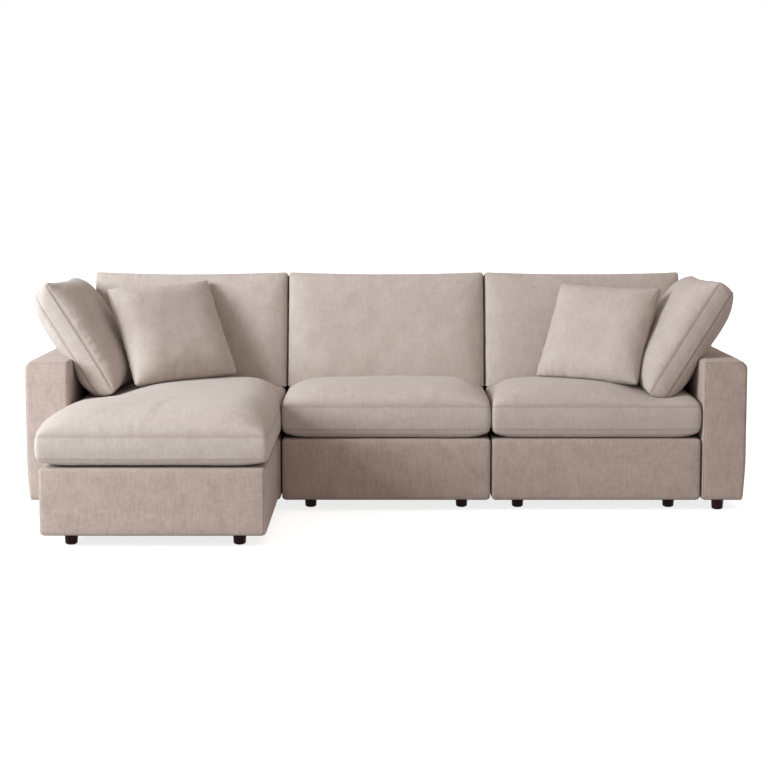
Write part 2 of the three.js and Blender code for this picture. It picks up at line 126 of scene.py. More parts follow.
class SofaShapes(bpy.types.PropertyGroup):
    """The forms of the cushions and covers."""

    cell: length_setting("Cloth cell", "Side of a face of cushion cloth before it is subdivided", 0.017)
    seam_strip: length_setting("Seam strip", "Width of the narrow faces beside each seam", 0.003)
    seam_depth: length_setting("Seam depth", "How deep a seam is drawn into a cushion", 0.0012)
    seam_ridge: length_setting("Seam ridge", "Height of the folded edges under the cloth at a seam", 0.0006)
    pucker: length_setting("Pucker", "Height of the small folds that run in from the seams", 0.0036)
    cover_radius: length_setting("Cover edge radius", "Rounding of the edges of the covers", 0.014)
    cover_puff: length_setting("Cover puff", "How far the padding swells the covers' panels", 0.003)
    cover_cell: length_setting("Cover cell", "Side of a face of a cover", 0.018)
    cover_wall: length_setting("Cover wall", "Thickness of the linen and its padding", 0.012)
    back_lean: angle_setting("Back cushion lean", "Angle of the back cushions from upright", 14.8)
    side_lean: angle_setting("Side cushion lean", "Angle of the side cushions from upright", 31.8)
    side_turn: angle_setting("Side cushion turn", "How far the side cushions turn to the front", 3.4)
    throw_lean: angle_setting("Throw pillow lean", "Angle of the throw pillows from upright", 32.9)
    throw_turn: angle_setting("Throw pillow turn", "How far the throw pillows turn from the front", 28.1)


class SofaCloth(bpy.types.PropertyGroup):
    """The linen's weave and its sewing."""

    thread_pitch: length_setting("Thread pitch", "Distance between two threads of the linen", 0.0016)
    slub_width: length_setting("Slub width", "Width of a thick stretch of thread", 0.0026)
    slub_length: length_setting("Slub length", "Length of a thick stretch of thread", 0.042)
    mottle_size: length_setting("Mottle size", "Width of the soft paler and darker patches", 0.075)
    stitch_spacing: length_setting("Stitch spacing", "Distance from one stitch to the next", 0.0055)
    stitch_length: length_setting("Stitch length", "Length of one visible stitch", 0.0038)
    thread_radius: length_setting("Thread radius", "Radius of the sewing thread", 0.0005)
    staple_spacing: length_setting("Staple spacing", "Distance between a dust cover's staples", 0.045)


class SofaColours(bpy.types.PropertyGroup):
    """The colours of the finishes."""

    linen_light: colour_setting("Linen, light", "The cushion linen's pale threads", (0.585, 0.522, 0.474))
    linen_dark: colour_setting("Linen, dark", "The cushion linen's dark threads", (0.465, 0.405, 0.362))
    # The base linen is the cushion linen made darker and warmer: painted shade for the covers of the bases,
    # backs and arms
    shaded_base_light: colour_setting("Base linen, light", "The shaded base linen's pale threads", (0.535, 0.448, 0.399))
    shaded_base_dark: colour_setting("Base linen, dark", "The shaded base linen's dark threads", (0.378, 0.300, 0.262))
    thread: colour_setting("Sewing thread", "The thread of the seams", (0.36, 0.30, 0.26))
    wood_light: colour_setting("Foot wood, light", "Pale grain of the stained feet", (0.036, 0.011, 0.012))
    wood_dark: colour_setting("Foot wood, dark", "Dark grain of the stained feet", (0.012, 0.004, 0.004))
    timber_light: colour_setting("Frame timber, light", "Pale grain of the frames", (0.62, 0.43, 0.24))
    timber_dark: colour_setting("Frame timber, dark", "Dark grain of the frames", (0.42, 0.26, 0.13))
    steel: colour_setting("Steel", "The springs, brackets and staples", (0.45, 0.46, 0.48))
    dust_cloth: colour_setting("Dust cloth", "The cloth under the bases", (0.014, 0.013, 0.013))


# Nodes


class Signal:
    """A socket of a node tree that can be added to, multiplied and so on."""

    def __init__(self, nodes, socket):
        self.nodes = nodes
        self.socket = socket

    def beside(self, name):
        """Another output of the same node."""
        return Signal(self.nodes, self.socket.node.outputs[name])

    def maths(self, operation, first, second):
        return self.nodes.node("ShaderNodeMath", {"operation": operation}, (first, second))

    def __add__(self, other):
        return self.maths("ADD", self, other)

    def __radd__(self, other):
        return self.maths("ADD", other, self)

    def __sub__(self, other):
        return self.maths("SUBTRACT", self, other)

    def __rsub__(self, other):
        return self.maths("SUBTRACT", other, self)

    def __mul__(self, other):
        return self.maths("MULTIPLY", self, other)

    def __rmul__(self, other):
        return self.maths("MULTIPLY", other, self)


class Nodes:
    """A node tree that is built by calls."""

    def __init__(self, tree):
        self.tree = tree

    def plug(self, target, value):
        """Links a signal to a socket, or sets the socket's own value."""
        if isinstance(value, Signal):
            self.tree.links.new(value.socket, target)
        else:
            target.default_value = value

    def node(self, kind, settings=None, values=(), output=0):
        """Adds a node, sets it up, fills its sockets by number or name, and gives one output."""
        made = self.tree.nodes.new(kind)
        for name, value in (settings or {}).items():
            setattr(made, name, value)
        for key, value in values.items() if isinstance(values, dict) else enumerate(values):
            self.plug(made.inputs[key], value)
        return Signal(self, made.outputs[output]) if made.outputs else None


class Finish(Nodes):
    """A material whose nodes are built by calls."""

    mix_colours = (6, 7)
    mix_result = 2

    def __init__(self, name):
        self.material = bpy.data.materials.new(name)
        self.material.use_nodes = True
        super().__init__(self.material.node_tree)
        self.shader = next(n for n in self.tree.nodes if n.type == "BSDF_PRINCIPLED")

    def place(self):
        """The place on the object, in metres."""
        return self.node("ShaderNodeTexCoord", output="Object")

    def noise(self, place, scale, stretch=(1, 1, 1), detail=2.0, roughness=0.5):
        """Soft noise from 0 to 1. Stretch squeezes the pattern along the place's axes."""
        mapped = self.node("ShaderNodeMapping", {}, {"Vector": place, "Scale": stretch})
        return self.node("ShaderNodeTexNoise", {}, {
            "Vector": mapped, "Scale": scale, "Detail": detail, "Roughness": roughness,
        })

    def mix(self, share, first, second, blend_type="MIX"):
        """Goes from one colour to another, or multiplies them, as the share grows."""
        settings = {"data_type": "RGBA", "blend_type": blend_type}
        values = {"Factor": share}
        for socket, colour in zip(self.mix_colours, (first, second)):
            values[socket] = colour if isinstance(colour, Signal) else (*colour, 1)
        return self.node("ShaderNodeMix", settings, values, self.mix_result)

    def spread(self, signal, low, high, to_low=0.0, to_high=1.0):
        """Maps low..high to to_low..to_high and stops there."""
        return self.node("ShaderNodeMapRange", {"clamp": True}, (signal, low, high, to_low, to_high))

    def feed(self, **sockets):
        """Plugs values into the shader's sockets, named with underscores for spaces."""
        for name, value in sockets.items():
            self.plug(self.shader.inputs[name.replace("_", " ")], value)

    def bump(self, height, strength, distance):
        self.feed(Normal=self.node("ShaderNodeBump", {}, {
            "Strength": strength, "Distance": distance, "Height": height,
        }))


def linen(name, cloth, light, dark):
    """Plain woven linen with slubs along both threads, on the weave's own coordinates in metres."""
    # The colour of the painted shade in the seams' creases, which the seam_shade attribute multiplies in
    seam_shade_colour, broad = (0.38, 0.32, 0.29), 0.4
    finish = Finish(name)
    place = finish.node("ShaderNodeUVMap", {"uv_map": WEAVE})
    across, along = 1 / cloth.slub_width, 1 / cloth.slub_length
    warp = finish.noise(place, 1.0, (across, along, 1), detail=3.0, roughness=0.6)
    weft = finish.noise(place, 1.0, (along, across, 1), detail=3.0, roughness=0.6)
    broad_warp = finish.noise(place, 1.0, (across * broad, along * broad, 1))
    broad_weft = finish.noise(place, 1.0, (along * broad, across * broad, 1))
    mottle = finish.noise(place, 1 / cloth.mottle_size, roughness=0.6)
    blotch = finish.noise(place, 4 / cloth.mottle_size, roughness=0.6)
    threads = 0.30 * warp + 0.18 * weft + 0.15 * broad_warp + 0.08 * broad_weft
    threads = threads + 0.19 * mottle + 0.10 * blotch
    woven = finish.mix(finish.spread(threads, low=0.395, high=0.605), dark, light)
    # Painted shade: the seam_shade attribute darkens the linen along the seams' creases
    seam = finish.node("ShaderNodeAttribute", {"attribute_name": SEAM_SHADE}, output="Fac")
    columns = finish.node("ShaderNodeSeparateXYZ", {}, (place,))
    turn = math.pi / cloth.thread_pitch
    over = finish.node("ShaderNodeMath", {"operation": "SINE"}, (columns * turn,))
    under = finish.node("ShaderNodeMath", {"operation": "SINE"}, (columns.beside("Y") * turn,))
    finish.bump(0.5 * (over * under) + 1.2 * warp + 1.2 * weft, strength=0.45, distance=0.0007)
    finish.feed(
        Base_Color=finish.mix(seam, woven, seam_shade_colour, "MULTIPLY"),
        Roughness=finish.spread(threads, low=0.3, high=0.7, to_low=0.97, to_high=0.86),
        Sheen_Weight=0.2, Sheen_Roughness=0.55, Specular_IOR_Level=0.2,
    )


def grained_wood(name, light, dark, roughness, scale, gloss):
    """Wood with its grain along the object's x axis."""
    finish = Finish(name)
    place = finish.place()
    warp = finish.noise(place, scale * 0.4, (0.25, 1, 1))
    rings = finish.noise(place, scale, (0.06, 1, 1), detail=4.0, roughness=0.65)
    share = finish.spread(0.65 * rings + 0.35 * warp, low=0.36, high=0.64)
    finish.feed(
        Base_Color=finish.mix(share, dark, light),
        Roughness=finish.spread(rings, low=0.3, high=0.7, to_low=roughness + 0.08, to_high=roughness - 0.05),
        Specular_IOR_Level=gloss,
    )
    finish.bump(rings, strength=0.12, distance=0.0006)


def drawn_steel(name, colour):
    """Drawn and oiled steel."""
    finish = Finish(name)
    smears = finish.noise(finish.place(), scale=60.0, detail=3.0)
    dark = [c * 0.7 for c in colour]
    finish.feed(
        Base_Color=finish.mix(smears, dark, colour), Metallic=1.0,
        Roughness=finish.spread(smears, low=0.3, high=0.7, to_low=0.3, to_high=0.48),
    )


def felted_cloth(name, colour):
    """Thin black cloth of pressed fibres."""
    finish = Finish(name)
    place = finish.place()
    fibres = finish.noise(place, scale=900.0)
    dimples = finish.node("ShaderNodeTexVoronoi", {}, {"Vector": place, "Scale": 420.0})
    pale = [c * 2.4 + 0.004 for c in colour]
    finish.feed(Base_Color=finish.mix(fibres, colour, pale), Roughness=0.95)
    finish.bump(fibres + dimples, strength=0.4, distance=0.0004)


def sewing_thread(name, colour):
    """Twisted sewing thread."""
    finish = Finish(name)
    twist = finish.noise(finish.place(), scale=1500.0, detail=1.0)
    pale = [min(1, c * 1.25) for c in colour]
    finish.feed(Base_Color=finish.mix(twist, colour, pale), Roughness=0.8)


# Meshes


def lines(low, high, step, marks=()):
    """Places from low to high about a step apart, with one at each mark."""
    stops = sorted({float(low), float(high), *(float(m) for m in marks)})
    places = []
    for start, end in zip(stops, stops[1:]):
        count = max(1, round((end - start) / step))
        places += [start + (end - start) * i / count for i in range(count)]
    return np.array(places + [stops[-1]])


class Skin:
    """A closed box of quads on lines along x, y and z, which is then bent into shape."""

    def __init__(self, *lines_of_axes):
        self.lines = lines_of_axes
        self.places = {}
        self.points = []
        self.faces = []
        self.sides = []
        last = [len(line) - 1 for line in self.lines]
        for axis in range(3):
            u, v = (axis + 1) % 3, (axis + 2) % 3
            for end, sign in ((0, -1), (last[axis], 1)):
                for i in range(last[u]):
                    for j in range(last[v]):
                        ring = [(i, j), (i + 1, j), (i + 1, j + 1), (i, j + 1)]
                        if sign < 0:
                            ring.reverse()
                        self.faces.append([self.point(axis, end, u, v, *spot) for spot in ring])
                        self.sides.append((axis, sign))
        self.box = np.array(self.points)
        self.points = self.box.copy()

    def point(self, axis, end, u, v, i, j):
        """The number of the point at lines i and j of one side, which is added when it is new."""
        key = [0, 0, 0]
        key[axis], key[u], key[v] = end, i, j
        key = tuple(key)
        if key not in self.places:
            self.places[key] = len(self.points)
            self.points.append([self.lines[k][key[k]] for k in range(3)])
        return self.places[key]

    def ring(self, level):
        """The points round the box at one line of z, in order."""
        last_x, last_y = len(self.lines[0]) - 1, len(self.lines[1]) - 1
        spots = [(i, 0) for i in range(last_x)] + [(last_x, j) for j in range(last_y)]
        spots += [(last_x - i, last_y) for i in range(last_x)] + [(0, last_y - j) for j in range(last_y)]
        return [self.places[(i, j, level)] for i, j in spots]

    def span(self, axis, level):
        """How far each line of an axis lies along the skin from its middle, at one line of z."""
        other = len(self.lines[1 - axis]) // 2
        count = len(self.lines[axis])
        keys = [(i, other, level) if axis == 0 else (other, i, level) for i in range(count)]
        places = self.points[[self.places[key] for key in keys]]
        steps = np.linalg.norm(np.diff(places, axis=0), axis=1)
        run = np.concatenate([[0.0], np.cumsum(steps)])
        return run - run[-1] / 2

    def weave(self, shift):
        """Each face corner's place on the cloth. The upright sides run on round the front corners."""
        low, high = self.box.min(axis=0), self.box.max(axis=0)
        ends = {-1: 0, 1: len(self.lines[2]) - 1}
        spans = {sign: [self.span(axis, level) for axis in (0, 1)] for sign, level in ends.items()}
        flat = []
        for face, (axis, sign) in zip(self.faces, self.sides):
            for point in face:
                x, y, z = self.box[point]
                if axis == 2:
                    spot = [np.interp(p, self.lines[k], spans[sign][k]) for k, p in enumerate((x, y))]
                elif axis == 1:
                    spot = (x, z)
                elif sign > 0:
                    spot = (high[0] + y - low[1], z)
                else:
                    spot = (low[0] - y + low[1], z)
                flat += [spot[0] + shift[0], spot[1] + shift[1]]
        return flat

    def build(self, name, shift, keep=None, shade=None):
        """Makes the object. Keep says of each face's middle whether the face stays."""
        flat = self.weave(shift)
        chosen = range(len(self.faces))
        if keep is not None:
            chosen = [i for i in chosen if keep(self.box[self.faces[i]].mean(axis=0), self.sides[i])]
        used = sorted({point for i in chosen for point in self.faces[i]})
        number = {point: i for i, point in enumerate(used)}
        faces = [[number[point] for point in self.faces[i]] for i in chosen]
        made = mesh_object(name, self.points[used], faces)
        layer = made.data.uv_layers.new(name=WEAVE)
        layer.data.foreach_set("uv", [value for i in chosen for value in flat[8 * i:8 * i + 8]])
        # The painted shade of the seams' creases goes into a point attribute
        if shade is not None:
            shade_seam(made, shade[used])
        return made


def mesh_object(name, points, faces=(), edges=()):
    mesh = bpy.data.meshes.new(name)
    mesh.from_pydata([tuple(p) for p in points], list(edges), [tuple(f) for f in faces])
    mesh.update()
    mesh.shade_smooth()
    made = bpy.data.objects.new(name, mesh)
    bpy.context.scene.collection.objects.link(made)
    return made


def vectors(items, key):
    """One vector of each item of a mesh, as the rows of an array."""
    values = np.empty(len(items) * 3)
    items.foreach_get(key, values)
    return values.reshape(-1, 3)


def points_of(obj):
    return vectors(obj.data.vertices, "co")


def normals_of(obj):
    return vectors(obj.data.vertex_normals, "vector")


def flat_places(obj):
    """Where each point of a cushion lies on its flat box."""
    return vectors(obj.data.attributes[FLAT].data, "vector")


def move_points(obj, places):
    obj.data.vertices.foreach_set("co", np.ascontiguousarray(places).ravel())
    obj.data.update()


def evaluated_copy(obj):
    """The object's mesh with its modifiers, as a plain mesh."""
    graph = bpy.context.evaluated_depsgraph_get()
    return bpy.data.meshes.new_from_object(obj.evaluated_get(graph), depsgraph=graph)


def settle_modifiers(obj):
    """Puts the modifiers' result in the mesh and removes them."""
    mesh = evaluated_copy(obj)
    obj.modifiers.clear()
    old = obj.data
    obj.data = mesh
    bpy.data.meshes.remove(old)
    obj.data.shade_smooth()


def ripples(places, size, seed):
    """Noise from -1 to 1 at each place."""
    shift = Vector([seed * step for step in SEED_STEPS])
    return np.array([noise.noise(Vector(p) / size + shift) for p in places])


def turned(angle, axis):
    return Matrix.Rotation(angle, 4, axis)


def lathed(name, middle, profile, sides):
    """A turned solid on an upright axis, from a profile of radii and heights that ends on the axis."""
    points, faces, rings = [], [], []
    for radius, z in profile:
        count = sides if radius > 0 else 1
        rings.append([len(points) + i % count for i in range(sides)])
        for i in range(count):
            angle = 2 * math.pi * i / sides
            points.append((middle[0] + radius * math.cos(angle), middle[1] + radius * math.sin(angle), z))
    for lower, upper in zip(rings, rings[1:]):
        for i in range(sides):
            j = (i + 1) % sides
            faces.append(tuple(dict.fromkeys((lower[i], lower[j], upper[j], upper[i]))))
    return mesh_object(name, points, faces)


# Cushions


def blurred(grid, passes):
    """Smooths a grid of values."""
    for _ in range(passes):
        wide = np.pad(grid, 1, mode="edge")
        sides = wide[:-2, 1:-1] + wide[2:, 1:-1] + wide[1:-1, :-2] + wide[1:-1, 2:]
        grid = (sides + 4 * grid) / 8
    return grid


class Cushion:
    """A cushion in its own frame: x across, y up its face and z through its thickness.

    The outline's corners lie draw_in inside the middles of its sides, and the boxing between the two seams
    bulges. The middles of the top and bottom edges sink by the sag. The front and back panels are crowned
    by ((1 - x^a) (1 - y^b))^s of their crowns, and a panel's powers are (a, b, s).
    """

    # The cloth's first lines beside a seam, and the least boxing that has lines of its own, in seam strips
    near_seam = (1, 2.7, 5)
    least_boxing = 4
    # The noises that vary the crowns, the outline and the panels
    swell_size = 0.24
    drift_size = 0.06
    drift_stretch = (1, 1, 0.2)
    dimple_size = 0.075
    # How soon an edge's own form fades inwards, and where the edge begins
    edge_power = 8
    edge_share = 0.9999
    # The crowns' share that the cloth starts from, and what is kept of its moves
    start_share = 0.86
    boxing_share = 0.3
    fold_share = 0.6
    fold_limit = 0.003
    corner_calm = 0.85
    # Passes of smoothing that part folds from swelling, spread a dent and round the shoulders
    blur_passes = 60
    ease_passes = 14
    round_passes = 10

    def __init__(self, sizes, seed, width, height, boxing, crowns, powers, corner, draw_in=0.0, bulge=0.0,
                 back_corner=None, cell_share=1.0, wave=0.08, drift=0.0, dimples=0.0, sag=0.0):
        self.draw_in = np.array(draw_in) * np.ones(2)
        self.half = np.array([width, height]) / 2 - self.draw_in - bulge
        self.seed, self.boxing, self.crowns, self.powers = seed, boxing, crowns, powers
        self.corner, self.bulge, self.sag = corner, bulge, sag
        self.back_corner = corner if back_corner is None else back_corner
        cell, strip = sizes.cell * cell_share, sizes.seam_strip
        near = [n * strip for n in self.near_seam]
        outline = [lines(-h, h, cell, [-h + n for n in near] + [h - n for n in near]) for h in self.half]
        levels = np.array([-boxing / 2, boxing / 2])
        if boxing > self.least_boxing * strip:
            levels = lines(-boxing / 2, boxing / 2, cell, (-boxing / 2 + strip, boxing / 2 - strip))
        self.skin = Skin(*outline, levels)
        top = len(levels) - 1
        across, along = (range(len(line)) for line in outline)
        self.panels = {
            side: np.array([[self.skin.places[(i, j, level)] for j in along] for i in across])
            for side, level in ((-1, 0), (1, top))
        }
        self.rings = [self.skin.ring(level) for level in (0, top)]
        box = self.skin.box
        # Each of the three noises has a seed of its own
        self.swells = 1 + wave * ripples(box, self.swell_size, seed)
        self.edge_drift = drift * (1 + ripples(box * self.drift_stretch, self.drift_size, seed + 40))
        self.dints = dimples * ripples(box, self.dimple_size, seed + 60)

    def rise_of(self, panel, share, powers):
        """The panel's rise from 0 at its seam to 1, with its shoulders rounded off."""
        across, along, sharpness = powers
        rise = ((1 - share[panel, 0] ** across) * (1 - share[panel, 1] ** along)) ** sharpness
        smooth = blurred(rise, self.round_passes)
        rise[2:-2, 2:-2] = smooth[2:-2, 2:-2]
        return rise

    def form(self, fullness=1.0):
        """The places of the skin's points, with the panels crowned to a share of their fullness."""
        box = self.skin.box
        share = np.abs(box[:, :2] / self.half).clip(0, 1)
        depth = 0.5 - box[:, 2] / self.boxing
        corner = self.corner + (self.back_corner - self.corner) * depth
        inner = box[:, :2].clip(-(self.half - corner[:, None]), self.half - corner[:, None])
        offset = box[:, :2] - inner
        length = np.linalg.norm(offset, axis=1)
        safe = np.where(length > 0, length, 1)
        plan = inner + offset * (np.abs(offset).max(axis=1) / safe)[:, None]
        outward = np.sign(plan) * share ** self.edge_power
        plan += outward * self.draw_in * (1 - share[:, ::-1] ** 2)
        plan -= outward * self.edge_drift[:, None]
        plan[:, 1] -= self.sag * (1 - share[:, 0] ** 2) * share[:, 1] ** self.edge_power
        level = box[:, 2] / (self.boxing / 2)
        on_edge = share.max(axis=1) > self.edge_share
        plan += (offset / safe[:, None]) * (self.bulge * (1 - level ** 2) * on_edge)[:, None]
        wave = fullness * self.swells
        z = box[:, 2].copy()
        for side, crown, powers in zip((1, -1), self.crowns, self.powers):
            panel = self.panels[side]
            rise = self.rise_of(panel, share, powers)
            z[panel] += side * crown * wave[panel] * rise
            if fullness == 1.0:
                z[panel] += side * self.dints[panel] * rise ** 2
        return np.column_stack([plan, z])

    def build(self, node, matrix, cut, slack=0.004):
        """Makes the node's cushion at its place, blown up from a lower form, with its seams marked.

        The cut is where on the linen its cloth is cut out.
        """
        self.skin.points = self.form()
        made = self.skin.build(f"{node}_linen", cut)
        move_points(made, self.form(self.start_share))
        made.data.transform(matrix)
        group = made.vertex_groups.new(name=SEAM)
        group.add(sorted({p for ring in self.rings for p in ring}), 1.0, "REPLACE")
        layer = made.data.attributes.new(FLAT, "FLOAT_VECTOR", "POINT")
        layer.data.foreach_set("vector", self.skin.box.ravel())
        inflate(made, slack)
        self.settle(made, matrix)
        return made

    def settle(self, made, matrix):
        """Gives the cushion its planned form with a share of the folds that the cloth has found."""
        there, back = np.array(matrix.inverted()), np.array(matrix)
        moved = points_of(made) @ there[:3, :3].T + there[:3, 3] - self.form(self.start_share)
        settled = self.form() + self.boxing_share * moved
        share = np.abs(self.skin.box[:, :2] / self.half).clip(0, 1)
        calm = 1 - self.corner_calm * share.prod(axis=1) ** 3
        for panel in self.panels.values():
            found = [moved[panel, k] - blurred(moved[panel, k], self.blur_passes) for k in range(3)]
            found = self.fold_limit * np.tanh(np.stack(found, 2) / self.fold_limit) * calm[panel][:, :, None]
            settled[panel] += self.fold_share * found - self.boxing_share * moved[panel]
        move_points(made, settled @ back[:3, :3].T + back[:3, 3])

    def ease(self, before, places):
        """Spreads what has been pushed in over the cloth round it."""
        for panel in self.panels.values():
            for axis in range(3):
                moved = places[panel, axis] - before[panel, axis]
                places[panel, axis] = before[panel, axis] + blurred(moved, self.ease_passes)

    def seam_distance(self, flat):
        """How far each place on the flat box lies from the nearest seam."""
        inset = (self.half - np.abs(flat[:, :2])).clip(0, None).min(axis=1)
        return inset + (self.boxing / 2 - np.abs(flat[:, 2])).clip(0, None)


def inflate(obj, slack):
    """Lets air push the cloth out between its seams. No point moves further than the cap."""
    steps, cap, tiny = 20, 0.022, 1e-9
    linen_cloth = {
        "quality": 4, "mass": 0.3, "tension_stiffness": 30.0, "compression_stiffness": 30.0,
        "shear_stiffness": 12.0, "bending_stiffness": 1.2, "use_pressure": True,
        "uniform_pressure_force": 4.0, "vertex_group_mass": SEAM, "shrink_min": -slack,
    }
    before = points_of(obj)
    modifier = obj.modifiers.new("Cloth", "CLOTH")
    for name, value in linen_cloth.items():
        setattr(modifier.settings, name, value)
    modifier.settings.effector_weights.gravity = 0
    modifier.point_cache.frame_start = 1
    modifier.point_cache.frame_end = steps
    scene = bpy.context.scene
    for step in range(1, steps + 1):
        scene.frame_set(step)
    mesh = evaluated_copy(obj)
    move = vectors(mesh.vertices, "co") - before
    bpy.data.meshes.remove(mesh)
    obj.modifiers.remove(modifier)
    scene.frame_set(1)
    length = np.linalg.norm(move, axis=1).clip(tiny, None)
    move *= np.minimum(1, cap / length)[:, None]
    move_points(obj, before + move)


def sew(obj, cushion, sizes, strength):
    """Draws the seams in, with the folded edges beside them, and paints shade into their creases."""
    ridge_place, ridge_width, painted_shade = 3.5, 1.6, 0.43
    distance = cushion.seam_distance(flat_places(obj)) / (sizes.seam_strip / 2)
    groove = np.exp(-distance ** 2)
    ridge = np.exp(-((distance - ridge_place) / ridge_width) ** 2)
    drop = strength * (sizes.seam_depth * groove - sizes.seam_ridge * ridge)
    move_points(obj, points_of(obj) - normals_of(obj) * drop[:, None])
    shade_seam(obj, painted_shade * strength * groove)


# Stores how strongly painted shade darkens the linen at each point
def shade_seam(obj, strength):
    layer = obj.data.attributes.new(SEAM_SHADE, "FLOAT", "POINT")
    layer.data.foreach_set("value", np.ascontiguousarray(strength, dtype=np.float32))


def puckers(obj, cushion, height):
    """Gathers the cloth beside the seams: small folds in patches that run in from a seam and fade."""
    reach, fold_width, fold_length, fade_length, rise_length = 0.14, 0.017, 0.10, 0.035, 0.008
    patch_size, patch_middle, patch_contrast = 0.11, 0.3, 1.6
    seam_step, panel_step, panel_level = 9, 17, 0.999
    flat = flat_places(obj)
    inset = (cushion.half - np.abs(flat[:, :2])).clip(0, None)
    on_panel = np.abs(flat[:, 2]) > cushion.boxing / 2 * panel_level
    chosen = on_panel & (inset.min(axis=1) < reach)
    picked, near = flat[chosen], inset[chosen]
    patches = (patch_middle + patch_contrast * ripples(picked, patch_size, cushion.seed + 3)).clip(0, 1)
    folds = np.zeros(len(picked))
    for axis, along in ((0, 1), (1, 0)):
        spot = np.column_stack([
            picked[:, along] / fold_width, near[:, axis] / fold_length,
            np.sign(picked[:, axis]) * seam_step + np.sign(picked[:, 2]) * panel_step,
        ])
        fade = np.exp(-near[:, axis] / fade_length) * (near[:, axis] / rise_length).clip(0, 1)
        folds += ripples(spot, 1.0, cushion.seed) * fade
    places = points_of(obj)
    places[chosen] += normals_of(obj)[chosen] * (height * folds * patches)[:, None]
    move_points(obj, places)


def crease(obj, start, end, width, depth):
    """A soft fold with a ridge beside it across a cushion's top, from one place in plan to another."""
    ridge_share, ridge_place = 0.7, 1.8
    places = points_of(obj)
    way = np.array(end) - start
    length = np.linalg.norm(way)
    way = way / length
    offset = places[:, :2] - start
    along = offset @ way
    beside = offset @ np.array([-way[1], way[0]]) / width
    fade = (1 - (2 * along / length - 1) ** 2).clip(0, 1)
    fold = np.exp(-beside ** 2) - ridge_share * np.exp(-(beside - ridge_place) ** 2)
    places[:, 2] -= depth * fold * fade * normals_of(obj)[:, 2].clip(0, 1)
    move_points(obj, places)


def tree_of(obj):
    return BVHTree.FromPolygons(
        [v.co.copy() for v in obj.data.vertices], [tuple(p.vertices) for p in obj.data.polygons],
    )


def press_on(obj, others):
    """Dents the object where it would sink into another cushion."""
    gap, reach = 0.001, 0.12
    for other in others:
        tree = tree_of(bpy.data.objects[f"{other}_linen"])
        places = points_of(obj)
        for i, place in enumerate(places):
            spot, normal, _, _ = tree.find_nearest(Vector(place), reach)
            if spot is not None and (Vector(place) - spot).dot(normal) < gap:
                places[i] = spot + normal * gap
        move_points(obj, places)


# Stitches, staples and finishing


def row_tree():
    """Nodes that set a small rounded bar at each step along a path and lay it along the path."""
    name = "row of bars"
    if name in bpy.data.node_groups:
        return bpy.data.node_groups[name]
    tree = bpy.data.node_groups.new(name, "GeometryNodeTree")
    kinds = {"Spacing": "Float", "Length": "Float", "Radius": "Float", "Finish": "Material"}
    for label, kind in {"Geometry": "Geometry", **kinds}.items():
        tree.interface.new_socket(label, in_out="INPUT", socket_type=f"NodeSocket{kind}")
    tree.interface.new_socket("Geometry", in_out="OUTPUT", socket_type="NodeSocketGeometry")
    nodes = Nodes(tree)
    given = nodes.node("NodeGroupInput")
    radius = given.beside("Radius")
    curve = nodes.node("GeometryNodeMeshToCurve", {}, {"Mesh": given})
    curve = nodes.node("GeometryNodeResampleCurve", {"mode": "LENGTH"}, {
        "Curve": curve, "Length": given.beside("Spacing"),
    })
    points = nodes.node("GeometryNodeCurveToPoints", {"mode": "EVALUATED"}, {"Curve": curve})
    ball = nodes.node("GeometryNodeMeshUVSphere", {}, {"Segments": 6, "Rings": 5, "Radius": 1.0})
    size = nodes.node("ShaderNodeCombineXYZ", {}, (radius, radius, given.beside("Length") * 0.5))
    bars = nodes.node("GeometryNodeInstanceOnPoints", {}, {
        "Points": points,
        "Instance": nodes.node("GeometryNodeTransform", {}, {"Geometry": ball, "Scale": size}),
        "Rotation": nodes.node("FunctionNodeAlignRotationToVector", {"axis": "Z"}, {
            "Vector": points.beside("Tangent"),
        }),
    })
    bars = nodes.node("GeometryNodeRealizeInstances", {}, {"Geometry": bars})
    bars = nodes.node("GeometryNodeSetMaterial", {}, {"Geometry": bars, "Material": given.beside("Finish")})
    nodes.node("NodeGroupOutput", {}, {"Geometry": bars})
    return tree


def row_along(name, paths, finish, spacing, length, radius):
    """A row of bars along each closed path, as one plain mesh."""
    points, edges = [], []
    for path in paths:
        start = len(points)
        points += path
        edges += [(start + i, start + (i + 1) % len(path)) for i in range(len(path))]
    made = mesh_object(name, points, edges=edges)
    modifier = made.modifiers.new("Row", "NODES")
    modifier.node_group = row_tree()
    values = {"Spacing": spacing, "Length": length, "Radius": radius, "Finish": bpy.data.materials[finish]}
    for item in modifier.node_group.interface.items_tree:
        if item.name in values:
            modifier[item.identifier] = values[item.name]
    settle_modifiers(made)
    return made


def body_of(node):
    """The body of a cover, foot or dust cover."""
    return "chaise_base" if node.startswith("chaise") else "root"


def set_finish(obj, finish):
    obj.data.materials.clear()
    obj.data.materials.append(bpy.data.materials[finish])


def finish_piece(obj, finish, body, replaced=None):
    """Gives a piece its finish, hangs it on its body and hides the part that it replaces."""
    set_finish(obj, finish)
    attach(obj, body)
    if replaced is not None:
        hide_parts(replaced)


def dress_cushion(context, made, cushion, node, fill, rows=2, seam=1.0, gathers=1.0):
    """Finishes a shaped cushion: one subdivision, sewn seams, puckers, stitches, its finish and its body."""
    sizes, cloth = context.scene.sofa_shapes, context.scene.sofa_cloth
    rings = [points_of(made)[ring] for ring in cushion.rings[:rows]]
    made.modifiers.new("Smooth", "SUBSURF").levels = 1
    settle_modifiers(made)
    # Seam sets how deep the seams are drawn in and how much painted shade darkens them
    sew(made, cushion, sizes, seam)
    puckers(made, cushion, gathers * sizes.pucker)
    finish_piece(made, "cushion linen", node, node)
    made.data.attributes.remove(made.data.attributes[FLAT])
    tree = tree_of(made)
    seams = [[tree.find_nearest(Vector(p))[0] for p in ring] for ring in rings]
    stitches = row_along(
        f"{node}_stitches", seams, "thread", cloth.stitch_spacing, cloth.stitch_length, cloth.thread_radius,
    )
    finish_piece(stitches, "thread", node)


# Operators


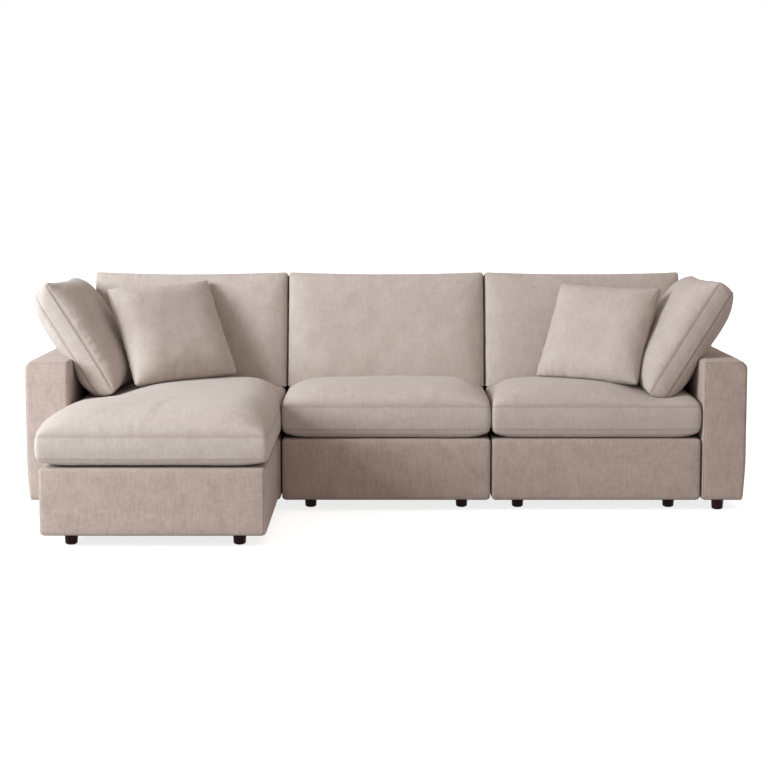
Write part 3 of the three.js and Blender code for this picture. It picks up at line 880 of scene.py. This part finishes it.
class SOFA_OT_camera(bpy.types.Operator):
    """Sets up the camera at the photograph's viewing angle"""

    bl_idname = "sofa.camera"
    bl_label = "Camera"

    distance = 7.15
    height = 1.3239
    side_shift = -0.009
    pitch = 0.1109
    focal_pixels = 1759.1
    frame_pixels = 768
    sensor = 36.0
    clip_end = 100.0

    def execute(self, context):
        data = bpy.data.cameras.new("camera")
        data.sensor_width = self.sensor
        data.lens = self.focal_pixels * self.sensor / self.frame_pixels
        data.clip_end = self.clip_end
        camera = bpy.data.objects.new("camera", data)
        camera.location = (self.side_shift, SEAT_FRONT - self.distance, self.height)
        camera.rotation_euler = (math.pi / 2 - self.pitch, 0, 0)
        context.scene.collection.objects.link(camera)
        context.scene.camera = camera
        return {"FINISHED"}


class SOFA_OT_finishes(bpy.types.Operator):
    """Makes the linen, wood, steel, dust cloth and thread"""

    bl_idname = "sofa.finishes"
    bl_label = "Finishes"

    def execute(self, context):
        cloth, colours = context.scene.sofa_cloth, context.scene.sofa_colours
        linen("cushion linen", cloth, colours.linen_light, colours.linen_dark)
        # The base linen's darker, warmer colours are painted shade
        linen("shaded base linen", cloth, colours.shaded_base_light, colours.shaded_base_dark)
        grained_wood(
            "stained wood", colours.wood_light, colours.wood_dark, roughness=0.55, scale=90.0, gloss=0.12,
        )
        grained_wood(
            "frame timber", colours.timber_light, colours.timber_dark, roughness=0.75, scale=30.0, gloss=0.25,
        )
        drawn_steel("steel", colours.steel)
        felted_cloth("dust cloth", colours.dust_cloth)
        sewing_thread("thread", colours.thread)
        return {"FINISHED"}


class SOFA_OT_inner_parts(bpy.types.Operator):
    """Finishes the frames, springs, brackets and dust covers, which keep their own shape"""

    bl_idname = "sofa.inner_parts"
    bl_label = "Inner parts"

    finishes = {
        "_frame": "frame timber", "_springs": "steel", "bracket": "steel", "_dust_cover": "dust cloth",
    }

    def execute(self, context):
        for name, node in frame["nodes"].items():
            for part, finish in self.finishes.items():
                if part in name:
                    set_finish(node, finish)
        return {"FINISHED"}


def upholstered_block(node, sizes, seed, extra_marks):
    """A block in linen over padding, with eased edges and slightly swollen panels."""
    ease_shares, panel_power, panel_share = (0.0, 0.3, 0.65, 1.0), 6, 0.7
    full, sunk = 0.75, 0.6
    low, high = corners(node)
    radius, puff = sizes.cover_radius, sizes.cover_puff
    ease = [share * radius for share in ease_shares]
    skin = Skin(*(
        lines(start, end, sizes.cover_cell, [start + e for e in ease] + [end - e for e in ease] + marks)
        for start, end, marks in zip(low, high, extra_marks)
    ))
    box = skin.box
    inner = box.clip(low + radius, high - radius)
    offset = box - inner
    out = offset / np.linalg.norm(offset, axis=1)[:, None]
    share = np.abs((box - (low + high) / 2) / ((high - low) / 2)).clip(0, 1)
    swell = np.where(np.abs(out) > panel_share, 1, 1 - share ** panel_power).prod(axis=1)
    lumps = 0.35 * ripples(box, size=0.16, seed=seed) + 0.2 * ripples(box, size=0.06, seed=seed + 5)
    skin.points = inner + out * (radius + puff * (swell * (full + lumps) - sunk))[:, None]
    return skin


def rounded_edge(places, axes, corner, signs, radius):
    """Rounds one long edge of a block: the square beside it in the two axes becomes a quarter disc."""
    offset = np.column_stack([
        ((places[:, axis] - place) * sign + radius).clip(0, None)
        for axis, place, sign in zip(axes, corner, signs)
    ])
    inside = offset.min(axis=1) > 0
    length = np.linalg.norm(offset, axis=1)
    scale = offset.max(axis=1) / np.where(inside, length, 1)
    for column, (axis, place, sign) in enumerate(zip(axes, corner, signs)):
        rounded = place + sign * (offset[:, column] * scale - radius)
        places[inside, axis] = rounded[inside]


class SOFA_OT_covers(bpy.types.Operator):
    """Makes the linen covers of the seat bases, the chaise base, the low backs and the arms"""

    bl_idname = "sofa.covers"
    bl_label = "Base, back and arm covers"

    hem = 0.03
    hem_lift = 0.0006
    panel_seam = 0.009
    seam_drop = 0.0016
    seam_painted_shade = 0.5
    taper_height = 0.17
    taper = 0.010
    taper_power = 1.5
    arm_round = 0.034
    round_marks = (0.5, 0.75, 1)
    cut_step = (1.37, 0.71)

    def cover(self, context, node, seed, seams=(), rounds=()):
        """Seams are (axis, place) lines on the front. Rounds are the edges with a radius of their own."""
        sizes = context.scene.sofa_shapes
        low, high = corners(node)
        strip = sizes.seam_strip / 2
        marks = [[low[axis] + self.hem, high[axis] - self.hem] for axis in (0, 1)] + [[]]
        for axis, place in seams:
            marks[axis] += [place - strip, place, place + strip]
        for axes, corner, signs, radius in rounds:
            for axis, place, sign in zip(axes, corner, signs):
                marks[axis] += [place - sign * radius * share for share in self.round_marks]
        skin = upholstered_block(node, sizes, seed, marks)
        on_front = skin.box[:, 1] < low[1] + sizes.cover_radius / 2
        shade = np.zeros(len(skin.box))
        # Each front seam is drawn in and darkened with painted shade
        for axis, place in seams:
            on_seam = on_front & (np.abs(skin.box[:, axis] - place) < strip / 10)
            skin.points[on_seam, 1] += self.seam_drop
            shade[on_seam] = self.seam_painted_shade
        for edge in rounds:
            rounded_edge(skin.points, *edge)
        skin.points[:, 2] = skin.points[:, 2].clip(low[2] + self.hem_lift, None)

        def kept(middle, side):
            """The underside is open inside its hem."""
            inset = np.minimum(middle - low, high - middle)[:2].min()
            return side != (2, -1) or inset < self.hem

        made = skin.build(f"{node}_linen", [seed * step for step in self.cut_step], kept, shade)
        wall = made.modifiers.new("Wall", "SOLIDIFY")
        wall.thickness = sizes.cover_wall
        wall.offset = -1.0
        settle_modifiers(made)
        finish_piece(made, "shaded base linen", body_of(node), node)
        return made

    def arm(self, context, name, side, seed):
        """An arm's cover, with a rounded outer top edge and a slight taper to the floor outside."""
        node = f"{name}_arm_cover"
        low, high = corners(node)
        outer, inner = (low[0], high[0]) if side < 0 else (high[0], low[0])
        made = self.cover(
            context, node, seed, [(0, inner + side * self.panel_seam), (2, high[2] - self.panel_seam)],
            [((0, 2), (outer, high[2]), (side, 1), self.arm_round)],
        )
        places = points_of(made)
        drop = ((low[2] + self.taper_height - places[:, 2]) / self.taper_height).clip(0, 1)
        out = ((places[:, 0] - middle_of(node)[0]) * side).clip(0, None) / (high[0] - low[0]) * 2
        places[:, 0] -= side * self.taper * drop ** self.taper_power * out
        move_points(made, places)

    def execute(self, context):
        nodes = [f"{seat}_seat_{part}_cover" for seat in SEATS for part in ("base", "back")]
        for seed, node in enumerate(nodes, start=1):
            self.cover(context, node, seed)
        side_seam = corners("chaise_base_cover")[1][0] - self.panel_seam
        self.cover(context, "chaise_base_cover", len(nodes) + 1, [(0, side_seam)])
        for seed, (name, side) in enumerate(SIDES.items(), start=len(nodes) + 2):
            self.arm(context, name, side, seed)
        return {"FINISHED"}


class SOFA_OT_seat_cushions(bpy.types.Operator):
    """Makes the long chaise cushion and the two seat cushions"""

    bl_idname = "sofa.seat_cushions"
    bl_label = "Seat cushions"

    first_seed = 1
    rest_height = 0.462
    rest_front = 0.508
    rest_blend = 0.15
    gap = 0.0008
    free_front = 0.03
    belly = 1.35
    squeeze = 0.004
    back_powers = (8, 10, 0.4)
    cloth = {"corner": 0.02, "bulge": 0.005, "wave": 0.05, "drift": 0.0006, "dimples": 0.0008}
    dressing = {"fill": 0.75, "seam": 0.6, "gathers": 0.6}
    cut_step = (2.3, 1.1)
    forms = {
        "chaise_cushion": {"low": 0.334, "high": 0.414, "top": 0.518, "powers": (5, 10, 0.4)},
        "middle_seat_cushion": {"low": 0.342, "high": 0.431, "top": 0.522, "powers": (5, 5, 0.4)},
        "right_seat_cushion": {"low": 0.342, "high": 0.431, "top": 0.522, "powers": (5, 5, 0.4)},
    }
    dents = {
        "chaise_cushion": {"place": (-1.17, 0.16), "radii": (0.16, 0.36), "share": 0.53},
        "right_seat_cushion": {"place": (1.14, 0.10), "radii": (0.15, 0.20), "share": 0.62},
    }
    chaise_fold = {"start": (-0.868, -0.87), "end": (-0.812, -0.42), "width": 0.018, "depth": 0.0022}

    def dent(self, places, place, radii, share, seam_height):
        """Sinks the top where a side cushion stands on it."""
        across = (places[:, 0] - place[0]) / radii[0]
        along = (places[:, 1] - SEAT_FRONT - place[1]) / radii[1]
        rise = (places[:, 2] - seam_height).clip(0, None)
        places[:, 2] -= rise * share * np.exp(-across ** 2 - along ** 2)

    def rest(self, places):
        """Presses the top down under the back cushion."""
        share = ((places[:, 1] - SEAT_FRONT - self.rest_front + self.rest_blend) / self.rest_blend).clip(0, 1)
        over = (places[:, 2] - self.rest_height).clip(0, None)
        places[:, 2] -= over * (share * share * (3 - 2 * share))

    def execute(self, context):
        sizes = context.scene.sofa_shapes
        for number, (node, form) in enumerate(self.forms.items()):
            low, high = corners(node)
            x, y, _ = (low + high) / 2
            seam_low, seam_high = form["low"], form["high"]
            cushion = Cushion(
                sizes, self.first_seed + number, PITCH + self.squeeze, high[1] - low[1],
                seam_high - seam_low,
                crowns=(form["top"] - seam_high, self.belly * (seam_low - DECK)),
                powers=(form["powers"], self.back_powers), **self.cloth,
            )
            matrix = Matrix.Translation((x, y, (seam_low + seam_high) / 2))
            made = cushion.build(node, matrix, [number * step for step in self.cut_step])
            places = points_of(made)
            if node in self.dents:
                self.dent(places, seam_height=seam_high, **self.dents[node])
            self.rest(places)
            reach = PITCH / 2 - self.gap
            held = places[:, 1] > SEAT_FRONT - self.free_front
            places[held, 0] = places[held, 0].clip(x - reach, x + reach)
            places[:, 2] = places[:, 2].clip(DECK + self.gap, None)
            places[:, 1] = places[:, 1].clip(None, LOW_BACK_FRONT - self.gap)
            move_points(made, places)
            if node == "chaise_cushion":
                crease(made, **self.chaise_fold)
            dress_cushion(context, made, cushion, node, **self.dressing)
        return {"FINISHED"}


class SOFA_OT_back_cushions(bpy.types.Operator):
    """Makes the three back cushions, which lean on the low backs"""

    bl_idname = "sofa.back_cushions"
    bl_label = "Back cushions"

    first_seed = 11
    seam_depth = 0.508
    top_height = 0.951
    below_rest = 0.026
    boxing = 0.150
    crown = 0.045
    squeeze = 0.006
    left_slack = 0.026
    gap = 0.0008
    powers = ((10, 6, 0.45), (6, 6, 0.5))
    cloth = {"corner": 0.011, "draw_in": (0.001, -0.010), "bulge": 0.005, "drift": 0.0010, "dimples": 0.0026}
    dressing = {"fill": 0.7, "seam": 0.9, "gathers": 1.1}
    cut_step = (3.1, 2.7)

    def execute(self, context):
        sizes = context.scene.sofa_shapes
        rest = SOFA_OT_seat_cushions.rest_height
        lean = sizes.back_lean
        length = (self.top_height - rest) / math.cos(lean) + self.below_rest
        for number, seat in enumerate(SEATS):
            node = f"{seat}_back_cushion"
            middle = middle_of(node)[0]
            cushion = Cushion(
                sizes, self.first_seed + number, PITCH + self.squeeze, length, self.boxing,
                (self.crown, self.crown), self.powers, **self.cloth,
            )
            matrix = (
                Matrix.Translation((middle, SEAT_FRONT + self.seam_depth, rest))
                @ turned(math.pi / 2 - lean, "X")
                @ Matrix.Translation((0, length / 2 - self.below_rest, -self.boxing / 2))
            )
            made = cushion.build(node, matrix, [number * step for step in self.cut_step])
            places = points_of(made)
            if seat == "left":
                outer = places[:, 0] < middle
                places[outer, 0] -= (places[outer, 0] - middle) * self.left_slack
            reach = PITCH / 2 - self.gap
            places[:, 0] = places[:, 0].clip(middle - reach, middle + reach)
            places[:, 2] = places[:, 2].clip(rest + self.gap, None)
            behind = (places[:, 2] < LOW_BACK_TOP + self.gap) & (places[:, 1] > LOW_BACK_FRONT - self.gap)
            places[behind, 1] = LOW_BACK_FRONT - self.gap
            move_points(made, places)
            dress_cushion(context, made, cushion, node, **self.dressing)
        return {"FINISHED"}


class SOFA_OT_side_cushions(bpy.types.Operator):
    """Makes the two boxed cushions that lean over the arms"""

    bl_idname = "sofa.side_cushions"
    bl_label = "Side cushions"

    first_seed = 21
    width = 0.52
    boxing = 0.064
    top_dip = 0.012
    draw_in = -0.008
    inner_crown = 0.092
    depth = 0.35
    height = 0.69
    gap = 0.001
    slack = 0.012
    powers = ((4, 4, 0.55), (4, 4, 0.55))
    cloth = {"corner": 0.010, "bulge": 0.004, "cell_share": 0.85, "drift": 0.0008, "dimples": 0.0025}
    dressing = {"fill": 0.8, "seam": 1.35, "gathers": 1.6}
    forms = {
        "left": {"length": 0.526, "crown": 0.070, "corner": 0.095, "x": -1.279, "cut": (5.0, 0.0)},
        "right": {"length": 0.542, "crown": 0.078, "corner": 0.045, "x": 1.248, "cut": (6.9, 2.2)},
    }

    def clear_of_arm(self, places, side, face, top):
        """Pushes what would be inside the arm out by the shorter way, inwards or up."""
        beyond = (places[:, 0] - face) * side + self.gap
        below = top + self.gap - places[:, 2]
        inside = (beyond > 0) & (below > 0)
        inward = inside & (beyond <= below)
        upward = inside & (beyond > below)
        places[inward, 0] -= side * beyond[inward]
        places[upward, 2] += below[upward]

    def execute(self, context):
        sizes = context.scene.sofa_shapes
        for number, (name, side) in enumerate(SIDES.items()):
            node, form = f"{name}_side_cushion", self.forms[name]
            cushion = Cushion(
                sizes, self.first_seed + number, self.width, form["length"] - self.top_dip, self.boxing,
                (self.inner_crown, form["crown"]), self.powers, back_corner=form["corner"],
                draw_in=(self.draw_in, self.draw_in - self.top_dip / 2), **self.cloth,
            )
            matrix = (
                Matrix.Translation((form["x"], SEAT_FRONT + self.depth, self.height))
                @ turned(side * sizes.side_turn, "Z") @ turned(side * sizes.side_lean, "Y")
                @ turned(-side * math.pi / 2, "Z") @ turned(math.pi / 2, "X")
            )
            made = cushion.build(node, matrix, form["cut"], self.slack)
            low, high = corners(f"{name}_arm_cover")
            arm = (side, high[0] if side < 0 else low[0], high[2])
            before = points_of(made)
            places = before.copy()
            self.clear_of_arm(places, *arm)
            cushion.ease(before, places)
            self.clear_of_arm(places, *arm)
            move_points(made, places)
            press_on(made, (SEAT_CUSHIONS[name], f"{name}_back_cushion"))
            dress_cushion(context, made, cushion, node, **self.dressing)
        return {"FINISHED"}


class SOFA_OT_throw_pillows(bpy.types.Operator):
    """Makes the two throw pillows, which lean on the back cushions"""

    bl_idname = "sofa.throw_pillows"
    bl_label = "Throw pillows"

    first_seed = 31
    boxing = 0.003
    crown = 0.076
    slack = 0.008
    powers = ((4, 4, 0.5), (4, 4, 0.5))
    cloth = {"draw_in": -0.009, "cell_share": 0.75, "drift": 0.0022, "dimples": 0.003, "sag": 0.009}
    dressing = {"fill": 0.65, "rows": 1, "gathers": 1.5}
    forms = {
        "left": {
            "size": 0.456, "corner": 0.012, "roll": math.radians(-3.7), "place": (-0.915, 0.354, 0.714),
            "cut": (9.0, 0.0),
        },
        "right": {
            "size": 0.448, "corner": 0.008, "roll": math.radians(1.4), "place": (0.908, 0.355, 0.708),
            "cut": (10.3, 0.8),
        },
    }

    def execute(self, context):
        sizes = context.scene.sofa_shapes
        for number, (name, form) in enumerate(self.forms.items()):
            node = f"{name}_throw_pillow"
            cushion = Cushion(
                sizes, self.first_seed + number, form["size"], form["size"], self.boxing,
                (self.crown, self.crown), self.powers, form["corner"], **self.cloth,
            )
            x, y, z = form["place"]
            matrix = (
                Matrix.Translation((x, SEAT_FRONT + y, z))
                @ turned(-SIDES[name] * sizes.throw_turn, "Z") @ turned(-sizes.throw_lean, "X")
                @ turned(form["roll"], "Y") @ turned(math.pi / 2, "X")
            )
            made = cushion.build(node, matrix, form["cut"], self.slack)
            press_on(made, (SEAT_CUSHIONS[name], f"{name}_back_cushion", f"{name}_side_cushion"))
            dress_cushion(context, made, cushion, node, **self.dressing)
        return {"FINISHED"}


class SOFA_OT_feet(bpy.types.Operator):
    """Turns the round wooden feet, each with a glide under it"""

    bl_idname = "sofa.feet"
    bl_label = "Feet"

    sides = 48
    taper = 0.003
    ease = 0.003
    ease_steps = 4
    glide_share = 0.72
    glide_height = 0.003
    glide_ease = 0.001
    collar = 0.0006
    collar_heights = (0.002, 0.0012)
    sharp_angle = math.radians(40)

    def profile(self, radius, top):
        """Radii and heights from the glide's middle over the eased bottom edge to the collar."""
        bottom = radius - self.taper
        glide = bottom * self.glide_share
        turns = [
            (0.0, 0.0), (glide - self.glide_ease, 0.0), (glide, self.glide_ease),
            (glide, self.glide_height), (bottom - self.ease, self.glide_height),
        ]
        for i in range(1, self.ease_steps + 1):
            angle = math.pi / 2 * i / self.ease_steps
            turns.append((
                bottom - self.ease + self.ease * math.sin(angle),
                self.glide_height + self.ease - self.ease * math.cos(angle),
            ))
        start, end = self.collar_heights
        return turns + [(radius - self.collar, top - start), (radius, top - end), (radius, top), (0.0, top)]

    def execute(self, context):
        for node in frame["nodes"]:
            if "_foot_" in node:
                low, high = corners(node)
                profile = self.profile((high[0] - low[0]) / 2, high[2])
                made = lathed(f"{node}_turned", (low + high) / 2, profile, self.sides)
                made.data.set_sharp_from_angle(angle=self.sharp_angle)
                finish_piece(made, "stained wood", body_of(node), node)
        return {"FINISHED"}


class SOFA_OT_staples(bpy.types.Operator):
    """Sets the staples that hold the dust covers"""

    bl_idname = "sofa.staples"
    bl_label = "Staples"

    inset = 0.012
    step = 0.04
    below = 0.0004
    length = 0.011
    radius = 0.0007

    def execute(self, context):
        spacing = context.scene.sofa_cloth.staple_spacing
        for node in frame["nodes"]:
            if node.endswith("_dust_cover"):
                low, high = corners(node)
                xs, ys = (lines(low[k] + self.inset, high[k] - self.inset, self.step) for k in (0, 1))
                z = low[2] - self.below
                path = [(x, ys[0], z) for x in xs[:-1]] + [(xs[-1], y, z) for y in ys[:-1]]
                path += [(x, ys[-1], z) for x in xs[:0:-1]] + [(xs[0], y, z) for y in ys[:0:-1]]
                made = row_along(f"{node}_staples", [path], "steel", spacing, self.length, self.radius)
                finish_piece(made, "steel", body_of(node))
        return {"FINISHED"}


class SOFA_OT_stage(bpy.types.Operator):
    """Makes the white floor, the window's light and the world"""

    bl_idname = "sofa.stage"
    bl_label = "Floor, light and world"

    floor_half = 200.0
    floor_colour = (0.6, 0.6, 0.6, 1.0)
    near_glow = 0.80
    near = 2.5
    far = 7.0
    world_strength = 0.55
    world_colour = (1.0, 0.862, 0.812, 1.0)
    window_place = (-4.9, -2.3, 2.6)
    window_aim = (0.0, 0.0, 0.4)
    window_size = 2.4
    window_power = 356.0
    window_colour = (0.885, 0.956, 1.0)

    def floor(self):
        """A floor that glows for the camera and mirrors, and less near the sofa, so that its shadow shows."""
        half = self.floor_half
        outline = [(-half, -half, 0), (half, -half, 0), (half, half, 0), (-half, half, 0)]
        floor = mesh_object("floor", outline, [(0, 1, 2, 3)])
        paint = Finish("floor paint")
        distance = paint.node("ShaderNodeVectorMath", {"operation": "LENGTH"}, (paint.place(),), "Value")
        direct = paint.node("ShaderNodeLightPath", output="Is Camera Ray")
        seen = 1 - (1 - direct) * (1 - direct.beside("Is Glossy Ray"))
        far = paint.spread(distance, self.near, self.far)
        paint.feed(
            Base_Color=self.floor_colour, Roughness=0.9, Emission_Strength=1.0,
            Emission_Color=seen * (self.near_glow + (1 - self.near_glow) * far),
        )
        floor.data.materials.append(paint.material)

    def world(self, context):
        """A soft even sky that the camera, mirrors and glass see as white."""
        world = bpy.data.worlds.new("studio")
        context.scene.world = world
        world.use_nodes = True
        world.node_tree.nodes.clear()
        sky = Nodes(world.node_tree)
        seen = sky.node("ShaderNodeLightPath", output="Is Camera Ray")
        for ray in ("Is Glossy Ray", "Is Transmission Ray"):
            seen = seen.maths("MAXIMUM", seen, sky.node("ShaderNodeLightPath", output=ray))
        soft = sky.node("ShaderNodeBackground", {}, (self.world_colour, self.world_strength))
        white = sky.node("ShaderNodeBackground", {}, ((1, 1, 1, 1), 1.0))
        sky.node("ShaderNodeOutputWorld", {}, (sky.node("ShaderNodeMixShader", {}, (seen, soft, white)),))

    def window(self, context):
        data = bpy.data.lights.new("window", "AREA")
        data.shape = "SQUARE"
        data.size = self.window_size
        data.energy = self.window_power
        data.color = self.window_colour
        made = bpy.data.objects.new("window", data)
        made.location = self.window_place
        aim = Vector(self.window_aim) - Vector(self.window_place)
        made.rotation_euler = aim.to_track_quat("-Z", "Y").to_euler()
        context.scene.collection.objects.link(made)

    def execute(self, context):
        self.floor()
        self.world(context)
        self.window(context)
        context.scene.view_settings.view_transform = "Standard"
        return {"FINISHED"}


STEPS = (
    SOFA_OT_camera, SOFA_OT_finishes, SOFA_OT_inner_parts, SOFA_OT_covers, SOFA_OT_seat_cushions,
    SOFA_OT_back_cushions, SOFA_OT_side_cushions, SOFA_OT_throw_pillows, SOFA_OT_feet, SOFA_OT_staples,
    SOFA_OT_stage,
)
SETTINGS = {"sofa_shapes": SofaShapes, "sofa_cloth": SofaCloth, "sofa_colours": SofaColours}


class SOFA_PT_panel(bpy.types.Panel):
    """Lists the steps that make the sofa"""

    bl_label = "Sectional sofa"
    bl_idname = "SOFA_PT_panel"
    bl_space_type = "VIEW_3D"
    bl_region_type = "UI"
    bl_category = "Sofa"

    def draw(self, context):
        for step in STEPS:
            self.layout.operator(step.bl_idname)
        for group in SETTINGS:
            settings = getattr(context.scene, group)
            for name in settings.bl_rna.properties.keys():
                if name not in ("rna_type", "name"):
                    self.layout.prop(settings, name)


def register():
    for name, group in SETTINGS.items():
        bpy.utils.register_class(group)
        setattr(bpy.types.Scene, name, bpy.props.PointerProperty(type=group))
    for part in (*STEPS, SOFA_PT_panel):
        bpy.utils.register_class(part)


def unregister():
    for part in (SOFA_PT_panel, *reversed(STEPS)):
        bpy.utils.unregister_class(part)
    for name, group in SETTINGS.items():
        delattr(bpy.types.Scene, name)
        bpy.utils.unregister_class(group)


def main():
    register()
    for step in STEPS:
        area, _, action = step.bl_idname.partition(".")
        getattr(getattr(bpy.ops, area), action)()


if __name__ == "__main__":
    main()
